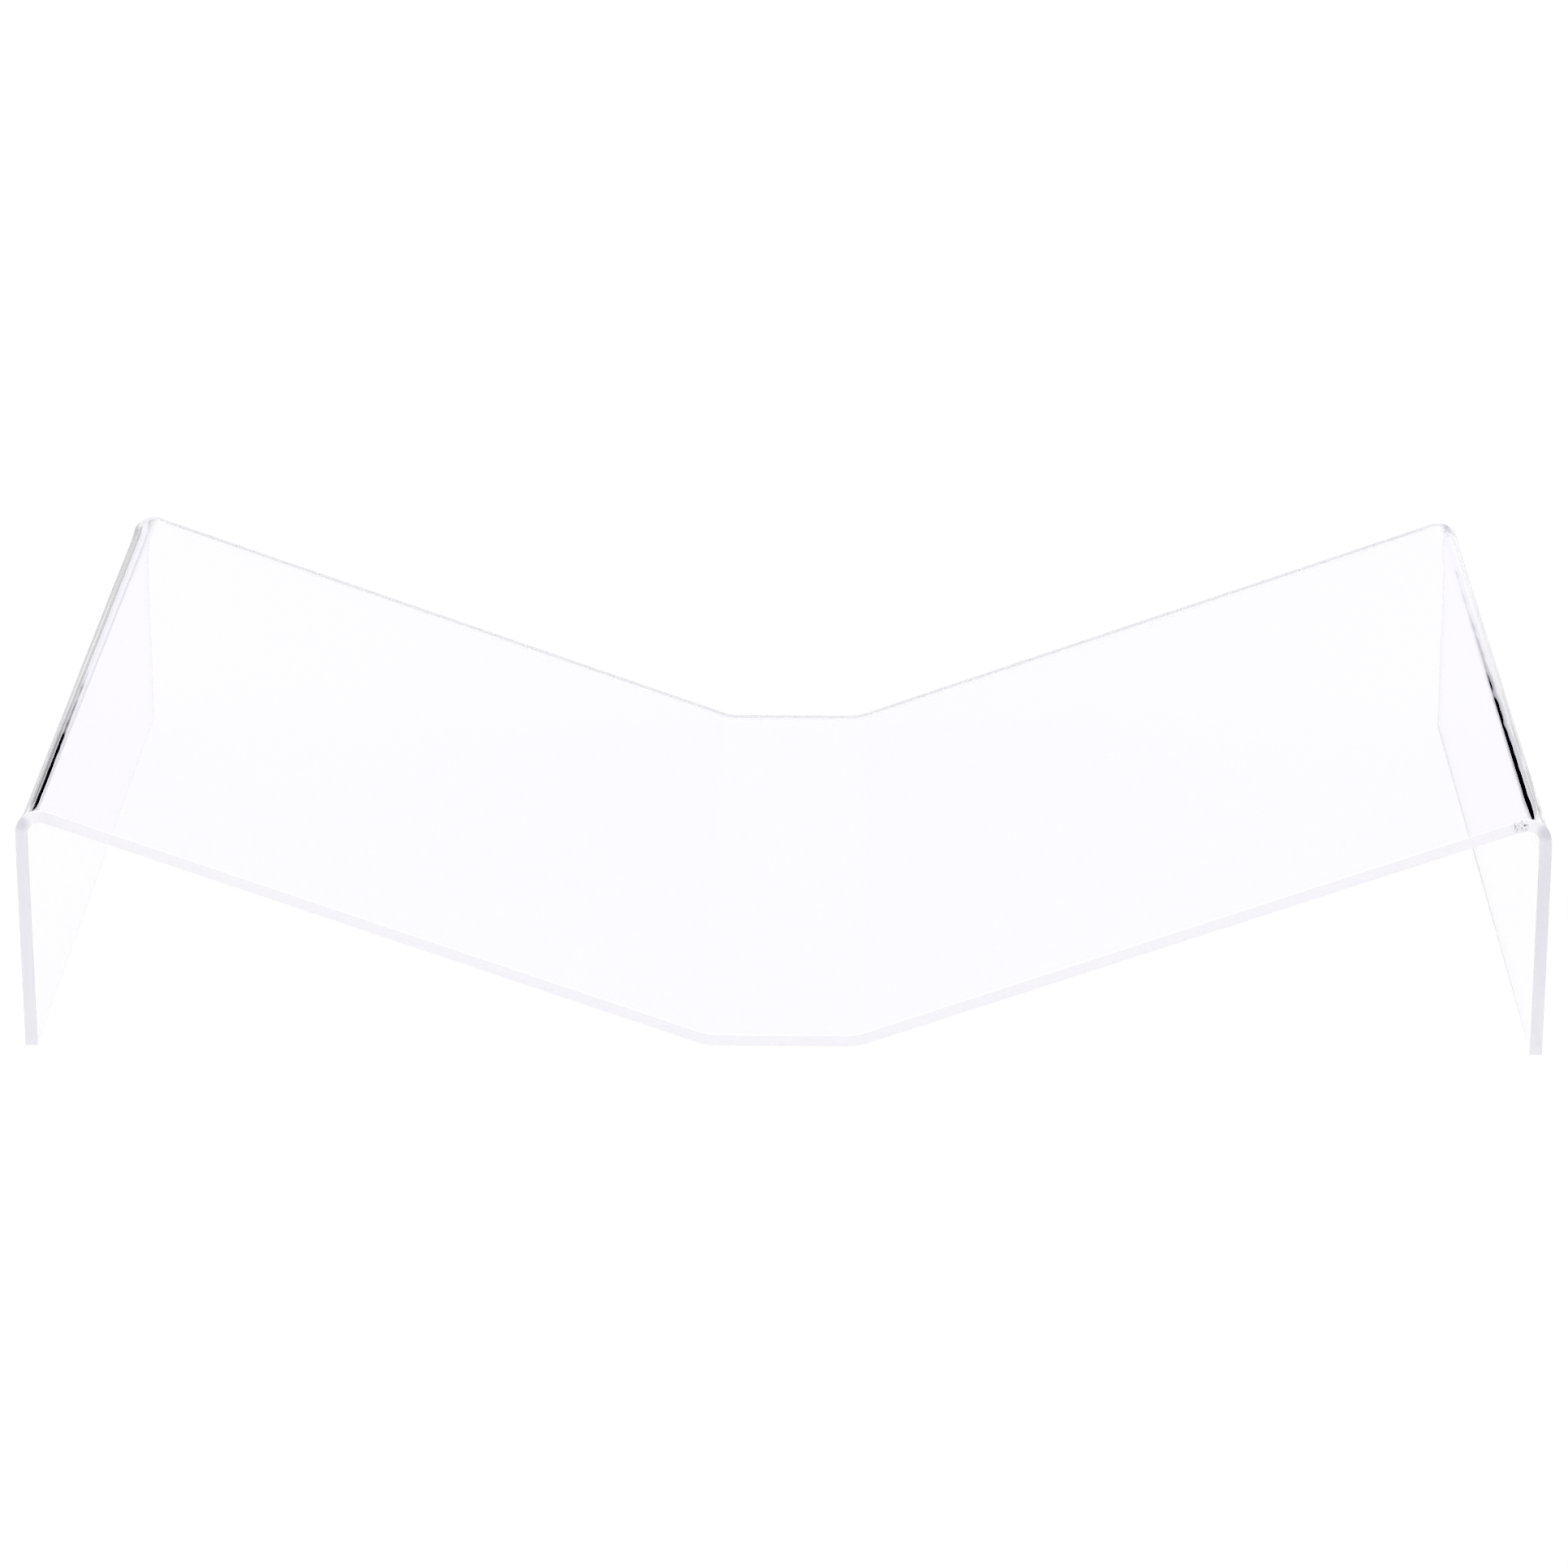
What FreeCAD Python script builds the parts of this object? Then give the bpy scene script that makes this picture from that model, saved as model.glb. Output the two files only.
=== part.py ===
import FreeCAD, Part
import math
import os

# A cradle that holds an open magazine or book, bent from one sheet of clear acrylic.
#
# The sheet stands on its two side edges. From the left foot it rises as a leg,
# turns over a tight top bend, falls as the left wing, lies flat as a narrow spine
# strip just above the table, and does the same in reverse on the right. Every bend
# line runs from front to back, so one profile in the XZ plane, extruded along Y,
# is the whole object.
#
# Frame: +X to the right, +Y to the back, +Z up. The origin is on the table, at the
# middle of the width and of the depth.

# Driving dimensions, in millimetres and degrees
overall_width = 370.0            # across the feet, outside to outside
overall_depth = 204.0            # front cut edge to back cut edge
overall_height = 62.5            # table to the crest of a top bend
sheet_thickness = 3.0
spine_width = 36.0               # flat strip, from bend corner to bend corner on its upper face
spine_clearance = 1.0            # table to the underside of the spine strip
leg_splay = 1.0                  # lean of a leg, in degrees: its foot is further out than its top
top_bend_inner_radius = 3.0
spine_bend_inner_radius = 14.0

# The outside of a bend is one sheet thickness further from its centre
top_bend_outer_radius = top_bend_inner_radius + sheet_thickness
spine_bend_outer_radius = spine_bend_inner_radius + sheet_thickness


def unit(direction):
    """The same direction, one millimetre long."""
    return direction * (1.0 / direction.Length)


def mirrored(points):
    """The points of the right half seen in the YZ plane, ordered from left to middle."""
    return [FreeCAD.Vector(-point.x, 0, point.z) for point in reversed(points)]


def outer_corners():
    """Where the flats of the outer face would meet if every bend were sharp, left to right.

    The outer face is the outside of the legs and the upper side of the wings and the
    spine strip. The top bend's arc touches the crest height and the outside of the
    leg, which places its centre. The wing runs from the corner of the spine strip and
    touches the same arc, which gives its slope.
    """
    splay = math.radians(leg_splay)
    foot_x = overall_width / 2
    spine_x = spine_width / 2
    spine_z = spine_clearance + sheet_thickness
    centre_z = overall_height - top_bend_outer_radius
    centre_x = foot_x - centre_z * math.tan(splay) - top_bend_outer_radius / math.cos(splay)
    span = math.hypot(centre_x - spine_x, centre_z - spine_z)
    slope = math.atan2(centre_z - spine_z, centre_x - spine_x)
    slope += math.asin(top_bend_outer_radius / span)
    rise = math.tan(slope)
    corner_z = (spine_z + (foot_x - spine_x) * rise) / (1 + rise * math.tan(splay))
    corner_x = foot_x - corner_z * math.tan(splay)
    right_half = [
        FreeCAD.Vector(spine_x, 0, spine_z),
        FreeCAD.Vector(corner_x, 0, corner_z),
        FreeCAD.Vector(foot_x, 0, 0),
    ]
    return mirrored(right_half) + right_half


def inward_normal(start, end):
    """From the outer face towards the inner face, for a flat drawn from left to right."""
    along = unit(end - start)
    return FreeCAD.Vector(along.z, 0, -along.x)


def inner_corners(outer):
    """The corners of the inner face, one sheet thickness behind the outer face."""
    foot_inset = FreeCAD.Vector(sheet_thickness / math.cos(math.radians(leg_splay)), 0, 0)
    corners = [outer[0] + foot_inset]
    for before, corner, after in zip(outer, outer[1:], outer[2:]):
        normal = inward_normal(before, corner)
        halfway = unit(normal + inward_normal(corner, after))
        corners.append(corner + halfway * (sheet_thickness / halfway.dot(normal)))
    corners.append(outer[-1] - foot_inset)
    return corners


def rounded_path(corners, radii):
    """Straight flats joined by tangent arcs, with one radius for each corner between the ends."""
    edges = []
    flat_start = corners[0]
    for before, corner, after, radius in zip(corners, corners[1:], corners[2:], radii):
        back = unit(before - corner)
        ahead = unit(after - corner)
        half_turn = (math.pi - back.getAngle(ahead)) / 2
        tangent_length = radius * math.tan(half_turn)
        corner_to_arc = radius / math.cos(half_turn) - radius
        arc_start = corner + back * tangent_length
        arc_middle = corner + unit(back + ahead) * corner_to_arc
        arc_end = corner + ahead * tangent_length
        edges.append(Part.LineSegment(flat_start, arc_start).toShape())
        edges.append(Part.Arc(arc_start, arc_middle, arc_end).toShape())
        flat_start = arc_end
    edges.append(Part.LineSegment(flat_start, corners[-1]).toShape())
    return edges


def bent_sheet():
    """The whole sheet as one solid: its profile, extruded from the front edge to the back."""
    outer = outer_corners()
    inner = inner_corners(outer)
    outer_radii = [top_bend_outer_radius, spine_bend_inner_radius]
    inner_radii = [top_bend_inner_radius, spine_bend_outer_radius]
    outline = rounded_path(outer, outer_radii + outer_radii[::-1])
    outline.append(Part.LineSegment(outer[-1], inner[-1]).toShape())
    outline += rounded_path(inner[::-1], inner_radii + inner_radii[::-1])
    outline.append(Part.LineSegment(inner[0], outer[0]).toShape())
    profile = Part.Face(Part.Wire(outline))
    profile.translate(FreeCAD.Vector(0, -overall_depth / 2, 0))
    return profile.extrude(FreeCAD.Vector(0, overall_depth, 0))


parts = {"bent_sheet": bent_sheet()}

os.makedirs("parts", exist_ok=True)
for name, shape in parts.items():
    shape.exportStep("parts/" + name + ".step")
    box = shape.BoundBox
    print(name, "valid" if shape.isValid() else "NOT VALID", "with", len(shape.Solids), "solid")
    print("  size", round(box.XLength, 3), round(box.YLength, 3), round(box.ZLength, 3), "mm")
    print("  lowest point", round(box.ZMin, 4), "mm, volume", round(shape.Volume / 1000, 2), "cm3")
for corner in outer_corners()[3:]:
    print("  outer corner at x", round(corner.x, 3), "z", round(corner.z, 3))
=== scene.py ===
import math

import bpy
from mathutils import Matrix, Vector


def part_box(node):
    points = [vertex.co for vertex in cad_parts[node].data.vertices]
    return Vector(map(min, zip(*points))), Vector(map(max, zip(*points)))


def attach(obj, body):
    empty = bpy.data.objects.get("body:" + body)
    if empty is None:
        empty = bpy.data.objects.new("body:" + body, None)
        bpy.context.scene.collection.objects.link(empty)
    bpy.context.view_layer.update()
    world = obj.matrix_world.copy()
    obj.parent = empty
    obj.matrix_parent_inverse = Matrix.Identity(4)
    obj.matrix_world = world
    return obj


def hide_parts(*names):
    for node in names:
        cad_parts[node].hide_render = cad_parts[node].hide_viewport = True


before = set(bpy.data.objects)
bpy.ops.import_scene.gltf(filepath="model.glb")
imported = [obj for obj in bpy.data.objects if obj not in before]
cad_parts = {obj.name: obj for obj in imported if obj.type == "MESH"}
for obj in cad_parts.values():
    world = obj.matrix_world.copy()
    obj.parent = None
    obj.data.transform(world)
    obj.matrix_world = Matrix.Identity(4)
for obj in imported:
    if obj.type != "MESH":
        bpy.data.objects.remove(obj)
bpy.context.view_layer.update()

# Sizes of the bent sheet, in metres. The three overall sizes are read from the bent_sheet part in
# model.glb
LOW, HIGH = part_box("bent_sheet")
WIDTH = HIGH[0] - LOW[0]
DEPTH = HIGH[1] - LOW[1]
HEIGHT = HIGH[2] - LOW[2]
THICKNESS = 0.003
SPINE_WIDTH = 0.036
SPINE_CLEARANCE = 0.001
LEG_SPLAY = math.radians(1.0)
TOP_BEND_INNER_RADIUS = 0.003
SPINE_BEND_INNER_RADIUS = 0.014
EDGE_BREAK = 0.00015             # corners of a cut edge, taken off with a scraper
MESH_SPACING = 0.002             # longest side of a mesh face
BEND_STEPS = 40                  # mesh faces round one bend
CRISP_ANGLE = math.radians(20)   # a mesh edge that turns more than this is a real corner
CUT_FACING = 0.2                 # a cut edge's normal has at least this much of Y in it
DOWN_FACING = 0.9                # and a foot's at least this much of Z
TABLE_TOUCH = 0.0001             # a face lower than this is on the table

# Marks that the hot wire leaves on a top bend, in metres
RIPPLE_HEIGHT = 0.00022          # how far the bend wanders off true along its length
RIPPLE_LENGTH = 0.030            # from one swell of that ripple to the next
LANE_GAP = 7.3                   # in ripples, so that the left bend's differs from the right one's
FRONT_SLACK = 0.00040            # how far the bend is drawn in at its front, where it is rounder
END_CURL = 0.00030               # how far each end of the bend curls outwards
END_SWELL = 0.00025              # how far its squeezed inside stands out of the cut edge
END_LENGTH = 0.014               # how much of its length an end is
END_POWER = 2.5                  # how sharply the curl and the swell set in
HEAT_START, HEAT_FULL = 0.15, 0.85   # cosines of the angle from the bend's middle direction

# Finishes
ACRYLIC_IOR = 1.49
SATIN_ROUGHNESS = 0.35           # a sawn and scraped edge
INSIDE_ROUGHNESS = 0.25          # the same edge met by light from inside the sheet
MILKY_SHARE = 0.22               # how much of the light on it gets into the sheet
CRAZED_CORE = 0.0014             # radius within which the crazed spot is at its worst, in metres
CRAZED_REACH = 0.0023            # radius at which it ends


# ---------------------------------------------------------------- helpers

def linear(hex_colour):
    """An sRGB hex colour as linear red, green, blue and alpha."""
    channels = [int(hex_colour[k:k + 2], 16) / 255 for k in (1, 3, 5)]
    channels = [c / 12.92 if c <= 0.04045 else ((c + 0.055) / 1.055) ** 2.4 for c in channels]
    return channels + [1.0]


def add(tree, kind, inputs=None, **settings):
    """A new node with its settings, and its inputs as links or values by socket identifier or number."""
    node = tree.nodes.new(kind)
    for name, value in settings.items():
        setattr(node, name, value)
    for key, value in (inputs or {}).items():
        if isinstance(key, int):
            socket = node.inputs[key]
        else:
            socket = next(s for s in node.inputs if s.identifier == key)
        if isinstance(value, bpy.types.Node):
            value = value.outputs[0]
        if isinstance(value, bpy.types.NodeSocket):
            tree.links.new(value, socket)
        else:
            socket.default_value = value
    return node


# ---------------------------------------------------------------- the bent sheet

def middle_corners():
    """Foot, top corner, spine corner and top bend axis of the right half, the corners in mid-thickness.

    They are where the flats would meet if every bend were sharp. The top bend's arc touches the
    crest height and the outside of the leg, and the wing touches that arc from the spine corner.
    """
    half = THICKNESS / 2
    outer_radius = TOP_BEND_INNER_RADIUS + THICKNESS
    splay_run = math.tan(LEG_SPLAY)
    spine = Vector((SPINE_WIDTH / 2, 0, SPINE_CLEARANCE + THICKNESS))
    arc_z = HEIGHT - outer_radius
    arc_x = WIDTH / 2 - arc_z * splay_run - outer_radius / math.cos(LEG_SPLAY)
    span = math.hypot(arc_x - spine.x, arc_z - spine.z)
    slope = math.atan2(arc_z - spine.z, arc_x - spine.x) + math.asin(outer_radius / span)
    spine += Vector((half * math.tan(slope / 2), 0, -half))
    foot_x = WIDTH / 2 - half / math.cos(LEG_SPLAY)
    rise = math.tan(slope)
    top_z = (spine.z + (foot_x - spine.x) * rise) / (1 + rise * splay_run)
    top = Vector((foot_x - top_z * splay_run, 0, top_z))
    foot_z = -half * math.sin(LEG_SPLAY)
    foot = Vector((foot_x - foot_z * splay_run, 0, foot_z))
    return foot, top, spine, Vector((arc_x, 0, arc_z))


FOOT, TOP_CORNER, SPINE_CORNER, BEND_AXIS = middle_corners()


def subdivided(tree, curve, spacing):
    """The poly curve with every stretch cut into pieces no longer than spacing."""
    here = add(tree, "GeometryNodeInputPosition")
    following = add(tree, "GeometryNodeOffsetPointInCurve", {"Offset": 1})
    there = add(tree, "GeometryNodeFieldAtIndex",
                {"Index": following.outputs["Point Index"], "Value": here}, data_type="FLOAT_VECTOR")
    length = add(tree, "ShaderNodeVectorMath", {0: here, 1: there}, operation="DISTANCE")
    pieces = add(tree, "ShaderNodeMath", {0: length.outputs["Value"], 1: spacing}, operation="DIVIDE")
    return add(tree, "GeometryNodeSubdivideCurve", {"Curve": curve, "Cuts": pieces})


def sheet_tree():
    """Geometry Nodes: a path through the corners with rounded bends, swept with the sheet's section."""
    tree = bpy.data.node_groups.new("bent_sheet_shape", "GeometryNodeTree")
    sockets = tree.interface
    sockets.new_socket("Geometry", in_out="OUTPUT", socket_type="NodeSocketGeometry")
    for name, kind in (("Foot", "Vector"), ("Top corner", "Vector"), ("Spine corner", "Vector"),
                       ("Top bend radius", "Float"), ("Spine bend radius", "Float"),
                       ("Depth", "Float"), ("Thickness", "Float"), ("Edge break", "Float"),
                       ("Bend steps", "Int"), ("Mesh spacing", "Float"), ("Bend axis", "Vector"),
                       ("Ripple height", "Float"), ("Ripple length", "Float"), ("Front slack", "Float"),
                       ("End curl", "Float"), ("End swell", "Float"), ("End length", "Float"),
                       ("Faces", "Material"), ("Cut edges", "Material"), ("Feet", "Material")):
        sockets.new_socket(name, in_out="INPUT", socket_type="NodeSocket" + kind)
    given = tree.nodes.new("NodeGroupInput").outputs

    # The six corners from the left foot to the right foot
    corners = [given["Foot"], given["Top corner"], given["Spine corner"]]
    left = [add(tree, "ShaderNodeVectorMath", {0: corner, 1: (-1, 1, 1)}, operation="MULTIPLY")
            for corner in corners]
    choice = add(tree, "GeometryNodeIndexSwitch", data_type="VECTOR")
    for _ in range(4):
        choice.index_switch_items.new()
    tree.links.new(add(tree, "GeometryNodeInputIndex").outputs[0], choice.inputs[0])
    for k, corner in enumerate([node.outputs[0] for node in left] + corners[::-1]):
        tree.links.new(corner, choice.inputs[k + 1])
    points = add(tree, "GeometryNodePoints", {"Count": 6, "Position": choice})
    path = add(tree, "GeometryNodePointsToCurves", {"Points": points})
    path = add(tree, "GeometryNodeCurveSplineType", {"Curve": path}, spline_type="POLY")

    # Rounded bends: the high corners are the tight ones
    position = add(tree, "GeometryNodeInputPosition")
    height = add(tree, "ShaderNodeSeparateXYZ", {0: position}).outputs["Z"]
    top_z = add(tree, "ShaderNodeSeparateXYZ", {0: given["Top corner"]}).outputs["Z"]
    middle_z = add(tree, "ShaderNodeMath", {0: top_z, 1: 0.5}, operation="MULTIPLY")
    is_top = add(tree, "FunctionNodeCompare", {"A": height, "B": middle_z}, operation="GREATER_THAN")
    radius = add(tree, "GeometryNodeSwitch", {"Switch": is_top, "False": given["Spine bend radius"],
                                              "True": given["Top bend radius"]}, input_type="FLOAT")
    path = add(tree, "GeometryNodeFilletCurve",
               {"Curve": path, "Count": given["Bend steps"], "Radius": radius}, mode="POLY")
    path = subdivided(tree, path, given["Mesh spacing"])
    path = add(tree, "GeometryNodeSetCurveNormal", {"Curve": path, "Normal": (0, 1, 0)}, mode="FREE")

    # The section: thickness by depth, with its four corners broken
    section = add(tree, "GeometryNodeCurvePrimitiveQuadrilateral",
                  {"Width": given["Depth"], "Height": given["Thickness"]}, mode="RECTANGLE")
    section = add(tree, "GeometryNodeFilletCurve",
                  {"Curve": section, "Count": 2, "Radius": given["Edge break"]}, mode="POLY")
    section = subdivided(tree, section, given["Mesh spacing"])
    sheet = add(tree, "GeometryNodeCurveToMesh",
                {"Curve": path, "Profile Curve": section, "Fill Caps": True})

    # The feet are cut level: nothing is lower than the table
    level = add(tree, "ShaderNodeVectorMath", {0: position, 1: (-10, -10, 0)}, operation="MAXIMUM")
    sheet = add(tree, "GeometryNodeSetPosition", {"Geometry": sheet, "Position": level})

    # Heating leaves its marks on each top bend, most in its middle, and none on the flats beside it.
    # Both halves are worked out as the right one
    right_half = add(tree, "ShaderNodeVectorMath", {0: position}, operation="ABSOLUTE")
    from_axis = add(tree, "ShaderNodeVectorMath", {0: right_half, 1: given["Bend axis"]},
                    operation="SUBTRACT")
    from_axis = add(tree, "ShaderNodeVectorMath", {0: from_axis, 1: (1, 0, 1)}, operation="MULTIPLY")
    outwards = add(tree, "ShaderNodeVectorMath", {0: from_axis}, operation="NORMALIZE")
    reach = add(tree, "ShaderNodeVectorMath", {0: from_axis}, operation="LENGTH").outputs["Value"]
    middle = add(tree, "ShaderNodeVectorMath", {0: given["Top corner"], 1: given["Bend axis"]},
                 operation="SUBTRACT")
    middle = add(tree, "ShaderNodeVectorMath", {0: middle}, operation="NORMALIZE")
    middle = add(tree, "ShaderNodeVectorMath", {0: outwards, 1: middle}, operation="DOT_PRODUCT")
    heated = add(tree, "ShaderNodeMapRange",
                 {"Value": middle.outputs["Value"], "From Min": HEAT_START, "From Max": HEAT_FULL},
                 interpolation_type="SMOOTHSTEP")
    here = add(tree, "ShaderNodeSeparateXYZ", {0: position})
    side = add(tree, "ShaderNodeMath", {0: here.outputs["X"]}, operation="SIGN")
    end = add(tree, "ShaderNodeMath", {0: here.outputs["Y"]}, operation="SIGN")

    # The bend wanders off true, by a ripple that runs along it and differs from left to right
    along = add(tree, "ShaderNodeMath", {0: here.outputs["Y"], 1: given["Ripple length"]},
                operation="DIVIDE")
    lane = add(tree, "ShaderNodeCombineXYZ", {"X": side, "Y": along, "Z": 0.0})
    lane = add(tree, "ShaderNodeVectorMath", {0: lane, 1: (LANE_GAP, 1.0, 1.0)}, operation="MULTIPLY")
    ripple = add(tree, "ShaderNodeTexNoise", {"Vector": lane, "Scale": 1.0, "Detail": 1.5})
    ripple = add(tree, "ShaderNodeMath", {0: ripple.outputs[0], 1: 0.5}, operation="SUBTRACT")
    ripple = add(tree, "ShaderNodeMath", {0: ripple, 1: given["Ripple height"]}, operation="MULTIPLY")

    # It gets rounder towards the front, which draws it in
    frontness = add(tree, "ShaderNodeMath", {0: here.outputs["Y"], 1: given["Depth"]}, operation="DIVIDE")
    frontness = add(tree, "ShaderNodeMath", {0: 0.5, 1: frontness}, operation="SUBTRACT")
    drawn_in = add(tree, "ShaderNodeMath", {0: frontness, 1: given["Front slack"]}, operation="MULTIPLY")

    # Its last few millimetres curl outwards
    half_depth = add(tree, "ShaderNodeMath", {0: given["Depth"], 1: 0.5}, operation="MULTIPLY")
    from_middle = add(tree, "ShaderNodeMath", {0: here.outputs["Y"]}, operation="ABSOLUTE")
    to_end = add(tree, "ShaderNodeMath", {0: half_depth, 1: from_middle}, operation="SUBTRACT")
    near_end = add(tree, "ShaderNodeMath", {0: to_end, 1: given["End length"]}, operation="DIVIDE")
    near_end = add(tree, "ShaderNodeMath", {0: 1.0, 1: near_end}, operation="SUBTRACT", use_clamp=True)
    near_end = add(tree, "ShaderNodeMath", {0: near_end, 1: END_POWER}, operation="POWER")
    curl = add(tree, "ShaderNodeMath", {0: near_end, 1: given["End curl"], 2: ripple},
               operation="MULTIPLY_ADD")
    curl = add(tree, "ShaderNodeMath", {0: curl, 1: drawn_in}, operation="SUBTRACT")
    curl = add(tree, "ShaderNodeMath", {0: curl, 1: heated}, operation="MULTIPLY")
    offset = add(tree, "ShaderNodeVectorMath", {0: outwards, "Scale": curl}, operation="SCALE")
    mirror = add(tree, "ShaderNodeCombineXYZ", {"X": side, "Y": 0.0, "Z": 1.0})
    offset = add(tree, "ShaderNodeVectorMath", {0: offset, 1: mirror}, operation="MULTIPLY")

    # At the cut edge the squeezed inside of the bend swells out and the stretched outside draws in
    share = add(tree, "ShaderNodeMapRange", {"Value": reach, "From Min": TOP_BEND_INNER_RADIUS,
                                             "From Max": TOP_BEND_INNER_RADIUS + THICKNESS,
                                             "To Min": 1.0, "To Max": -1.0})
    swell = add(tree, "ShaderNodeMath", {0: share, 1: given["End swell"]}, operation="MULTIPLY")
    swell = add(tree, "ShaderNodeMath", {0: swell, 1: heated}, operation="MULTIPLY")
    swell = add(tree, "ShaderNodeMath", {0: swell, 1: near_end}, operation="MULTIPLY")
    swell = add(tree, "ShaderNodeMath", {0: swell, 1: end}, operation="MULTIPLY")
    swell = add(tree, "ShaderNodeCombineXYZ", {"X": 0.0, "Y": swell, "Z": 0.0})
    offset = add(tree, "ShaderNodeVectorMath", {0: offset, 1: swell}, operation="ADD")
    sheet = add(tree, "GeometryNodeSetPosition", {"Geometry": sheet, "Offset": offset})

    # Smooth round the bends, crisp where a cut edge meets a polished face
    sheet = add(tree, "GeometryNodeSetShadeSmooth", {"Geometry": sheet})
    turn = add(tree, "GeometryNodeInputMeshEdgeAngle")
    crisp = add(tree, "FunctionNodeCompare", {"A": turn.outputs[0], "B": CRISP_ANGLE},
                operation="GREATER_THAN")
    sheet = add(tree, "GeometryNodeSetShadeSmooth",
                {"Geometry": sheet, "Selection": crisp, "Shade Smooth": False}, domain="EDGE")
    sheet = add(tree, "GeometryNodeRealizeInstances", {"Geometry": sheet})
    sheet = add(tree, "GeometryNodeSetMaterial", {"Geometry": sheet, "Material": given["Faces"]})

    # A cut edge faces forwards or backwards, or is a foot's, flat on the table
    facing = add(tree, "GeometryNodeInputNormal").outputs["True Normal"]
    facing = add(tree, "ShaderNodeVectorMath", {0: facing}, operation="ABSOLUTE")
    facing = add(tree, "ShaderNodeSeparateXYZ", {0: facing})
    cut = add(tree, "FunctionNodeCompare", {"A": facing.outputs["Y"], "B": CUT_FACING},
              operation="GREATER_THAN")
    down = add(tree, "FunctionNodeCompare", {"A": facing.outputs["Z"], "B": DOWN_FACING},
               operation="GREATER_THAN")
    on_table = add(tree, "FunctionNodeCompare", {"A": height, "B": TABLE_TOUCH}, operation="LESS_THAN")
    under_foot = add(tree, "FunctionNodeBooleanMath", {0: down, 1: on_table}, operation="AND")
    sheet = add(tree, "GeometryNodeSetMaterial", {"Geometry": sheet, "Selection": cut,
                                                  "Material": given["Cut edges"]})
    sheet = add(tree, "GeometryNodeSetMaterial", {"Geometry": sheet, "Selection": under_foot,
                                                  "Material": given["Feet"]})
    add(tree, "NodeGroupOutput", {0: sheet})
    return tree


def as_piece(name, tree, values):
    """The tree's result as a plain mesh object at the origin, with no modifier left on it."""
    seed = bpy.data.objects.new(name + "_seed", bpy.data.meshes.new(name + "_seed"))
    bpy.context.scene.collection.objects.link(seed)
    modifier = seed.modifiers.new("shape", "NODES")
    modifier.node_group = tree
    for item in tree.interface.items_tree:
        if item.in_out == "INPUT":
            modifier[item.identifier] = values[item.name]
    evaluated = seed.evaluated_get(bpy.context.evaluated_depsgraph_get())
    mesh = bpy.data.meshes.new_from_object(evaluated)
    mesh.name = name
    bpy.data.objects.remove(seed)
    piece = bpy.data.objects.new(name, mesh)
    bpy.context.scene.collection.objects.link(piece)
    return piece


# ---------------------------------------------------------------- materials

def new_material(name):
    """An empty material, its tree and its output node."""
    material = bpy.data.materials.new(name)
    material.use_nodes = True
    material.node_tree.nodes.clear()
    return material, material.node_tree, add(material.node_tree, "ShaderNodeOutputMaterial")


def polished_cast_acrylic():
    """Cast acrylic (PMMA) as it leaves the casting glass: clear as water with a trace of lavender."""
    material, tree, output = new_material("polished_cast_acrylic")
    place = add(tree, "ShaderNodeTexCoord").outputs["Object"]
    # Casting leaves slow swells some 30 mm long that only bend a reflection
    swell = add(tree, "ShaderNodeTexNoise", {"Vector": place, "Scale": 1 / 0.030, "Detail": 1.0})
    bump = add(tree, "ShaderNodeBump", {"Height": swell.outputs[0], "Strength": 0.02, "Distance": 0.0005})
    surface = add(tree, "ShaderNodeBsdfPrincipled",
                  {"Base Color": linear("#FDFCFF"), "Roughness": 0.0, "IOR": ACRYLIC_IOR,
                   "Transmission Weight": 1.0, "Normal": bump})
    tree.links.new(surface.outputs[0], output.inputs["Surface"])
    return material


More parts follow.
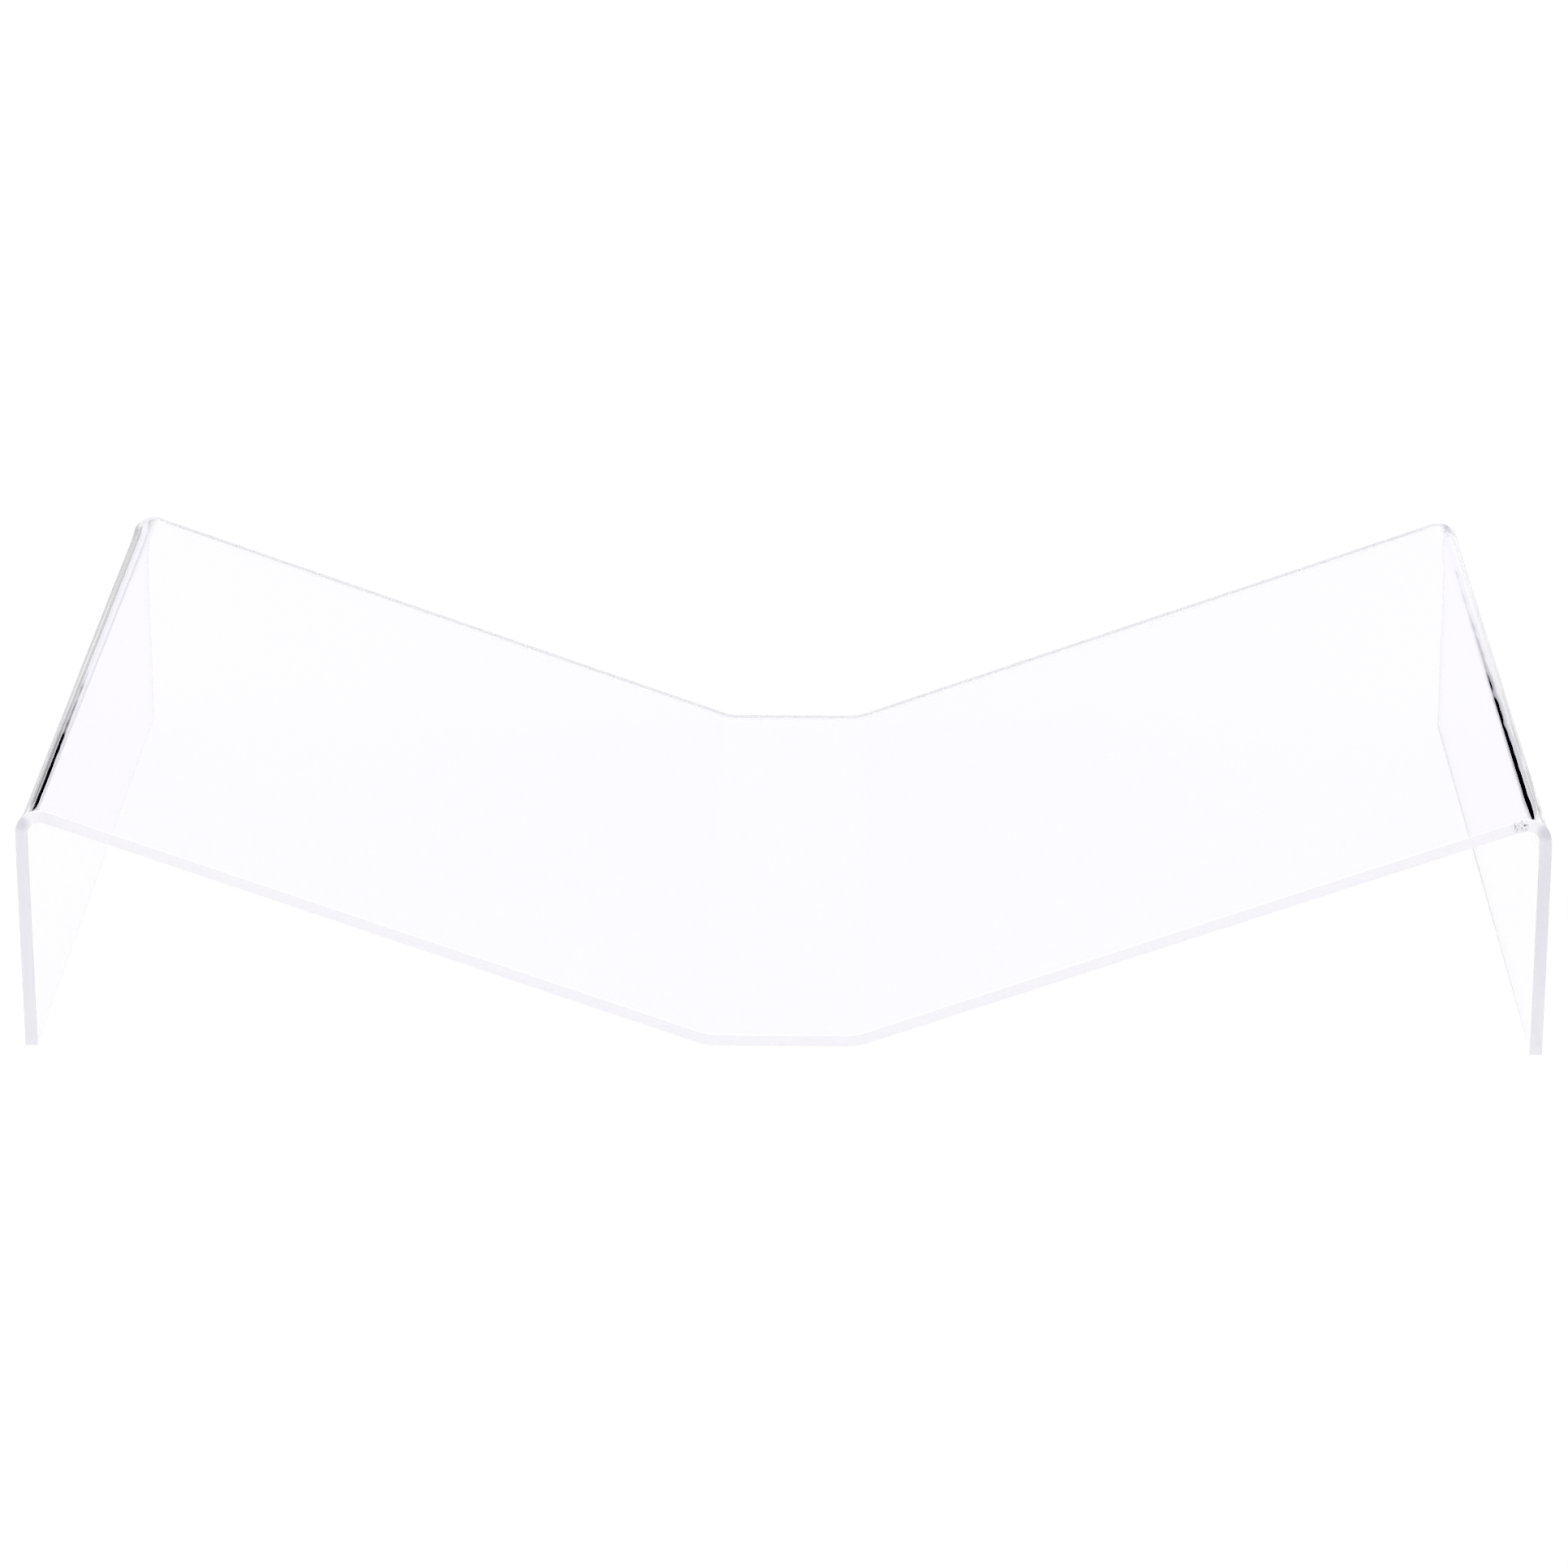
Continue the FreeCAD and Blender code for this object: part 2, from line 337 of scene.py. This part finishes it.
def sawn_acrylic_edge():
    """The same acrylic where the sheet was sawn and scraped: satin and milky, faintly lavender.

    A leg's edge is painted greyer than the rest, and a top bend's outer corner the greyest: painted
    shade, not a colour of the acrylic. The front of the right crest overheated and is crazed.
    """
    material, tree, output = new_material("sawn_acrylic_edge")
    place = add(tree, "ShaderNodeTexCoord").outputs["Object"]
    # Painted shade on both halves, coloured as the right one by distances from the axis of its top bend
    right_half = add(tree, "ShaderNodeVectorMath", {0: place}, operation="ABSOLUTE")
    flat = add(tree, "ShaderNodeVectorMath", {0: right_half, 1: (1, 0, 1)}, operation="MULTIPLY")
    outside = add(tree, "ShaderNodeVectorMath", {0: flat, 1: BEND_AXIS}, operation="SUBTRACT")
    # Painted shade: a leg's cut edge is made greyer than the rest
    leg_painted_shade = add(tree, "ShaderNodeVectorMath", {0: outside, 1: (1, 0, -1)}, operation="DOT_PRODUCT")
    leg_painted_shade = add(tree, "ShaderNodeMapRange",
              {"Value": leg_painted_shade.outputs["Value"], "From Min": -0.001, "From Max": 0.004})
    # Painted shade: greyest round a top bend's outer corner
    corner = BEND_AXIS + Vector((0.0044, 0, 0.0026))
    corner = add(tree, "ShaderNodeVectorMath", {0: flat, 1: corner}, operation="DISTANCE").outputs["Value"]
    corner = add(tree, "ShaderNodeMapRange", {"Value": corner, "From Min": 0.0010, "From Max": 0.0026,
                                              "To Min": 0.9, "To Max": 0.0})
    # The milky edge colour, with the painted shade of legs and corners mixed in
    tone = add(tree, "ShaderNodeMix", {"Factor_Float": leg_painted_shade, "A_Color": linear("#F9F8FB"),
                                       "B_Color": linear("#EFEFF3")}, data_type="RGBA").outputs[2]
    tone = add(tree, "ShaderNodeMix", {"Factor_Float": corner, "A_Color": tone,
                                       "B_Color": linear("#E2E2E6")}, data_type="RGBA").outputs[2]

    # Crazing: ragged pits and cracks about 0.7 mm apart, round one spot
    spot = BEND_AXIS + Vector((-0.0020, -DEPTH / 2, 0.0044))
    near = add(tree, "ShaderNodeVectorMath", {0: place, 1: spot}, operation="DISTANCE").outputs["Value"]
    near = add(tree, "ShaderNodeMapRange", {"Value": near, "From Min": CRAZED_CORE,
                                            "From Max": CRAZED_REACH, "To Min": 1.0, "To Max": 0.0})
    pits = add(tree, "ShaderNodeTexNoise", {"Vector": place, "Scale": 1 / 0.0007, "Detail": 3.0,
                                            "Roughness": 0.7, "Distortion": 1.5})
    pits = add(tree, "ShaderNodeMapRange", {"Value": pits.outputs[0], "From Min": 0.52, "From Max": 0.66})
    crack = add(tree, "ShaderNodeMath", {0: pits, 1: near}, operation="MULTIPLY")
    tone = add(tree, "ShaderNodeMix", {"Factor_Float": crack, "A_Color": tone,
                                       "B_Color": linear("#7A8482")}, data_type="RGBA").outputs[2]

    # Saw marks cross the edge about every 0.4 mm; here they are 1.2 mm apart, or they would not show
    marks = add(tree, "ShaderNodeTexNoise", {"Vector": place, "Scale": 1 / 0.0012, "Detail": 2.0})
    bump = add(tree, "ShaderNodeBump", {"Height": marks.outputs[0], "Strength": 0.15, "Distance": 0.0001})

    # Its outer side scatters light back, while light from inside the sheet gets out
    inside = add(tree, "ShaderNodeNewGeometry").outputs["Backfacing"]
    clear = add(tree, "ShaderNodeMapRange", {"Value": inside, "To Min": MILKY_SHARE, "To Max": 1.0})
    satin = add(tree, "ShaderNodeMapRange",
                {"Value": inside, "To Min": SATIN_ROUGHNESS, "To Max": INSIDE_ROUGHNESS})
    surface = add(tree, "ShaderNodeBsdfPrincipled",
                  {"Base Color": tone, "Roughness": satin, "IOR": ACRYLIC_IOR,
                   "Transmission Weight": clear, "Normal": bump})
    tree.links.new(surface.outputs[0], output.inputs["Surface"])
    return material


def acrylic_foot_painted_shade():
    """The cut edge that stands on the table: sawn as the rest, with a greyer, less clear finish that
    paints the shade where it sits on the table.
    """
    material, tree, output = new_material("acrylic_foot_painted_shade")
    place = add(tree, "ShaderNodeTexCoord").outputs["Object"]
    # Blotches from 1 to 3 mm across in the painted shade
    spots = add(tree, "ShaderNodeTexNoise", {"Vector": place, "Scale": 1 / 0.002, "Detail": 2.0})
    tone = add(tree, "ShaderNodeMix", {"Factor_Float": spots, "A_Color": linear("#F0F0F4"),
                                       "B_Color": linear("#FAFAFC")}, data_type="RGBA")
    surface = add(tree, "ShaderNodeBsdfPrincipled",
                  {"Base Color": tone.outputs[2], "Roughness": 0.6, "IOR": ACRYLIC_IOR,
                   "Transmission Weight": 0.2})
    tree.links.new(surface.outputs[0], output.inputs["Surface"])
    return material


# ---------------------------------------------------------------- build

sheet = as_piece("bent_sheet_clear", sheet_tree(), {
    "Foot": FOOT,
    "Top corner": TOP_CORNER,
    "Spine corner": SPINE_CORNER,
    "Top bend radius": TOP_BEND_INNER_RADIUS + THICKNESS / 2,
    "Spine bend radius": SPINE_BEND_INNER_RADIUS + THICKNESS / 2,
    "Depth": DEPTH,
    "Thickness": THICKNESS,
    "Edge break": EDGE_BREAK,
    "Bend steps": BEND_STEPS,
    "Mesh spacing": MESH_SPACING,
    "Bend axis": BEND_AXIS,
    "Ripple height": RIPPLE_HEIGHT,
    "Ripple length": RIPPLE_LENGTH,
    "Front slack": FRONT_SLACK,
    "End curl": END_CURL,
    "End swell": END_SWELL,
    "End length": END_LENGTH,
    "Faces": polished_cast_acrylic(),
    "Cut edges": sawn_acrylic_edge(),
    "Feet": acrylic_foot_painted_shade(),
})
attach(sheet, "root")
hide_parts("bent_sheet")


# ---------------------------------------------------------------- studio

def plane(name, corners, material):
    """A flat sheet of the studio's own."""
    mesh = bpy.data.meshes.new(name)
    mesh.from_pydata(corners, [], [tuple(range(len(corners)))])
    mesh.materials.append(material)
    card = bpy.data.objects.new(name, mesh)
    bpy.context.scene.collection.objects.link(card)
    return card


# The floor is a lit white table, so nothing on it casts more than a trace of shadow
FLOOR = 8.0                      # half its width, in metres
TABLE_GLOW = 0.985
material, tree, output = new_material("light_table")
surface = add(tree, "ShaderNodeBsdfPrincipled",
              {"Base Color": (0.02, 0.02, 0.02, 1), "Roughness": 1.0, "Specular IOR Level": 0.0,
               "Emission Color": (1, 1, 1, 1), "Emission Strength": TABLE_GLOW})
tree.links.new(surface.outputs[0], output.inputs["Surface"])
plane("floor", [(-FLOOR, -FLOOR, 0), (FLOOR, -FLOOR, 0), (FLOOR, FLOOR, 0), (-FLOOR, FLOOR, 0)], material)

# Black flags behind the cradle, left and right, out of view: clear acrylic shows only what its
# bends mirror and refract, so the flags draw its dark lines. Each is given by what a top bend
# sees of it: azimuth from straight back and elevation, in degrees
FLAG_BACK = 1.4                  # how far back they stand, in metres
SEEN_FROM = 0.05                 # how far forwards on the bend they are seen from
VEIL_WIDTH = 0.05                # of the thin grey strip beside a flag's inner edge


def keep_to_acrylic(card):
    """The card isn't seen directly, and neither lights nor shades anything."""
    card.visible_camera = False
    card.visible_diffuse = False
    card.visible_shadow = False


def seen_from_bend(side, azimuth, elevation):
    """The point on the flags' upright plane that the top bend of one side sees in a direction."""
    distance = FLAG_BACK + SEEN_FROM
    away = distance * math.tan(math.radians(azimuth))
    up = distance * math.tan(math.radians(elevation)) / math.cos(math.radians(azimuth))
    return (side * (WIDTH / 2 + away), FLAG_BACK, max(HEIGHT + up, 0.0))


def flag(name, side, outline, soft_edge, soft_width, veil):
    """A black card for mirror and glass rays only, its inner edge blurred, with a grey veil beside it.

    The soft edge is two points of the line where the black starts, soft_width is how far in it
    is fully black, in metres, and veil is how dark the veil is.
    """
    material, tree, output = new_material(name + "_cloth")
    start, end = (Vector(seen_from_bend(side, *point)) for point in soft_edge)
    along = (end - start).normalized()
    across = Vector((along.z, 0, -along.x))
    if across.x * side < 0:
        across.negate()
    place = add(tree, "ShaderNodeTexCoord").outputs["Object"]
    into_card = add(tree, "ShaderNodeVectorMath", {0: place, 1: across}, operation="DOT_PRODUCT")
    into_card = into_card.outputs["Value"]
    edge = across.dot(start)
    cover = add(tree, "ShaderNodeMapRange",
                {"Value": into_card, "From Min": edge, "From Max": edge + soft_width})
    grey = add(tree, "ShaderNodeMapRange", {"Value": into_card, "From Min": edge - VEIL_WIDTH,
                                            "From Max": edge - VEIL_WIDTH / 3, "To Max": veil})
    cover = add(tree, "ShaderNodeMath", {0: cover, 1: grey}, operation="MAXIMUM")
    black = add(tree, "ShaderNodeBsdfDiffuse", {"Color": (0, 0, 0, 1)})
    clear = add(tree, "ShaderNodeBsdfTransparent")
    surface = add(tree, "ShaderNodeMixShader", {0: cover, 1: clear, 2: black})
    tree.links.new(surface.outputs[0], output.inputs["Surface"])
    card = plane(name, [seen_from_bend(side, *point) for point in outline], material)
    keep_to_acrylic(card)


flag("flag_left", -1, outline=[(22.75, -1.5), (31, -1.5), (31, 10.4), (21.95, 10.4)],
     soft_edge=[(23.15, 0), (22.2, 10)], soft_width=0.045, veil=0.0)
flag("flag_right", 1, outline=[(21.5, 0.5), (31, 0.5), (31, 24), (8.7, 24)],
     soft_edge=[(22.4, 5), (13.8, 20)], soft_width=0.030, veil=0.3)

# A grey cloth on the table behind the left end, its near edge blurred
CLOTH_DARKNESS = 0.42
CLOTH_Z = 0.001                  # its height above the table, in metres
CLOTH_AWAY = (-0.93, 0.36, 0)    # the way across its near edge
CLOTH_START, CLOTH_FULL = 0.285, 0.36   # how far that way it starts, and is all there
CLOTH_OUTLINE = [(-0.19, 0.12), (-0.19, 0.30), (-0.72, 1.55), (-1.12, 1.55), (-0.36, 0.21)]
material, tree, output = new_material("grey_cloth")
place = add(tree, "ShaderNodeTexCoord").outputs["Object"]
away = add(tree, "ShaderNodeVectorMath", {0: place, 1: CLOTH_AWAY}, operation="DOT_PRODUCT")
cover = add(tree, "ShaderNodeMapRange", {"Value": away.outputs["Value"], "From Min": CLOTH_START,
                                         "From Max": CLOTH_FULL, "To Max": CLOTH_DARKNESS})
black = add(tree, "ShaderNodeBsdfDiffuse", {"Color": (0, 0, 0, 1)})
clear = add(tree, "ShaderNodeBsdfTransparent")
surface = add(tree, "ShaderNodeMixShader", {0: cover, 1: clear, 2: black})
tree.links.new(surface.outputs[0], output.inputs["Surface"])
keep_to_acrylic(plane("cloth", [(x, y, CLOTH_Z) for x, y in CLOTH_OUTLINE], material))

# One large soft light overhead
softbox = bpy.data.objects.new("softbox", bpy.data.lights.new("softbox", "AREA"))
softbox.data.shape = "SQUARE"
softbox.data.size = 2.0
softbox.data.energy = 12.0
softbox.location = (0, 0.2, 1.8)
bpy.context.scene.collection.objects.link(softbox)

# White all round, faintly lavender low down, where only the acrylic sees it
LOW_SKY = math.radians(16)
HIGH_SKY = math.radians(22)
world = bpy.data.worlds.new("studio")
bpy.context.scene.world = world
world.use_nodes = True
world.node_tree.nodes.clear()
tree = world.node_tree
direction = add(tree, "ShaderNodeTexCoord").outputs["Generated"]
rise = add(tree, "ShaderNodeSeparateXYZ", {0: direction}).outputs["Z"]
low = add(tree, "ShaderNodeMapRange", {"Value": rise, "From Min": math.sin(HIGH_SKY),
                                       "From Max": math.sin(LOW_SKY)},
          interpolation_type="SMOOTHSTEP")
seen = add(tree, "ShaderNodeLightPath").outputs["Is Camera Ray"]
unseen = add(tree, "ShaderNodeMath", {0: 1.0, 1: seen}, operation="SUBTRACT")
low = add(tree, "ShaderNodeMath", {0: low, 1: unseen}, operation="MULTIPLY")
tone = add(tree, "ShaderNodeMix", {"Factor_Float": low, "A_Color": (1, 1, 1, 1),
                                   "B_Color": (0.98, 0.975, 1.0, 1)}, data_type="RGBA")
sky = add(tree, "ShaderNodeBackground", {"Color": tone.outputs[2], "Strength": 1.0})
add(tree, "ShaderNodeOutputWorld", {"Surface": sky})

# Strong contrast, with plain tones
BLACK_LEVEL = 0.30
view = bpy.context.scene.view_settings
view.view_transform = "Standard"
view.use_curve_mapping = True
view.curve_mapping.black_level = (BLACK_LEVEL, BLACK_LEVEL, BLACK_LEVEL)
view.curve_mapping.update()

# Light runs a long way inside the sheet before it gets out, and with fewer bounces it ends black
LIGHT_BOUNCES = 128
cycles = bpy.context.scene.cycles
cycles.max_bounces = LIGHT_BOUNCES
cycles.transmission_bounces = LIGHT_BOUNCES
cycles.glossy_bounces = LIGHT_BOUNCES


# ---------------------------------------------------------------- camera

AIM = Vector((-0.0012, 0, 0.0267))
DISTANCE = 1.259
AZIMUTH = math.radians(1.009)
ELEVATION = math.radians(23.285)
ROLL = math.radians(-0.069)
camera = bpy.data.objects.new("camera", bpy.data.cameras.new("camera"))
camera.data.sensor_width = 36.0
camera.data.lens = 110.67
camera.data.clip_end = 50.0
turn = Matrix.Rotation(AZIMUTH, 4, "Z")
turn @= Matrix.Rotation(math.pi / 2 - ELEVATION, 4, "X")
turn @= Matrix.Rotation(ROLL, 4, "Z")
camera.matrix_world = Matrix.Translation(AIM + turn.to_3x3() @ Vector((0, 0, DISTANCE))) @ turn
bpy.context.scene.collection.objects.link(camera)
bpy.context.scene.camera = camera
